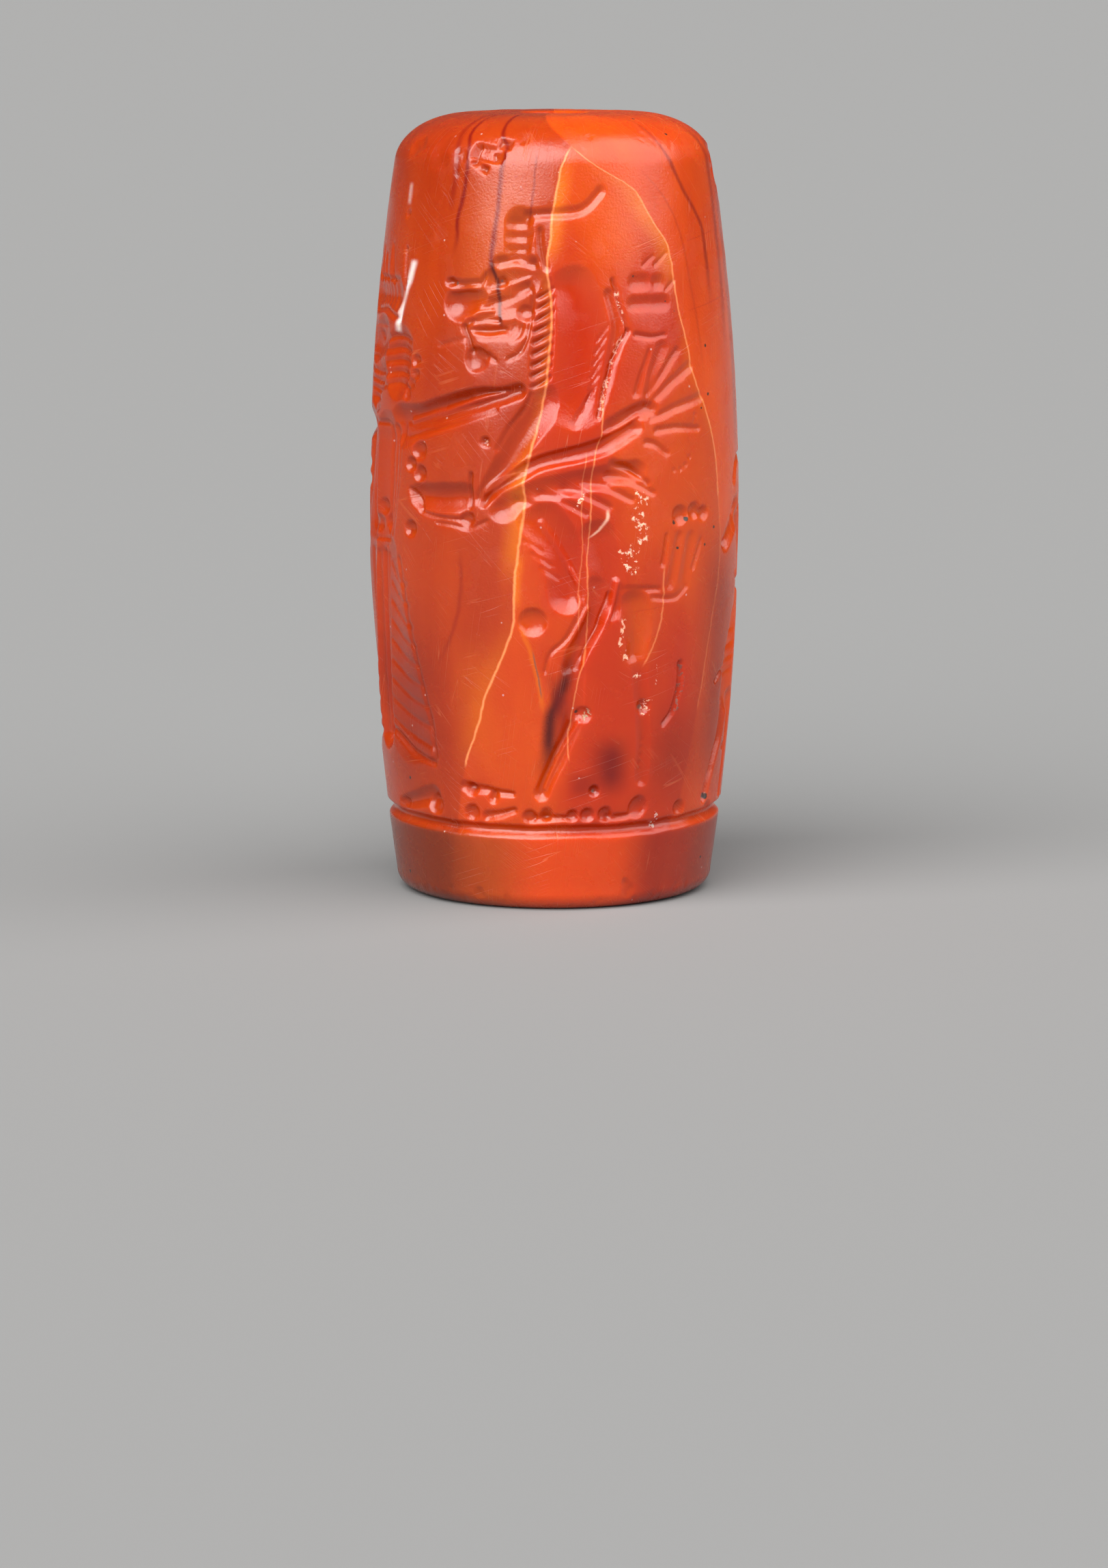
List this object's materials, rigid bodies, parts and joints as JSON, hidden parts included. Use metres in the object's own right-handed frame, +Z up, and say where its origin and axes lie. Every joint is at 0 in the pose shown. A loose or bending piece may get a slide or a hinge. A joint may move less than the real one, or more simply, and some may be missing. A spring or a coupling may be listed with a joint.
{
  "type": "cylinder seal",
  "caption": "Barrel-shaped carnelian cylinder seal, drilled lengthwise for a cord and carved in intaglio all round with a hero holding off rearing griffins.",
  "frame": {"origin": "centre of the seal's outline on the flat lower end that it stands on", "axes": "+Z up the seal along its bore, -Y towards the viewer, out through the carved griffin that faces the hero's right arm"},
  "size_m": [0.0186, 0.0185, 0.0389],
  "materials": {
    "carnelian": "polished translucent orange-red carnelian with darker clouds, veins, pale flaws and worn carving"
  },
  "bodies": {
    "root": {"seal_body": "carnelian"}
  },
  "joints": []
}
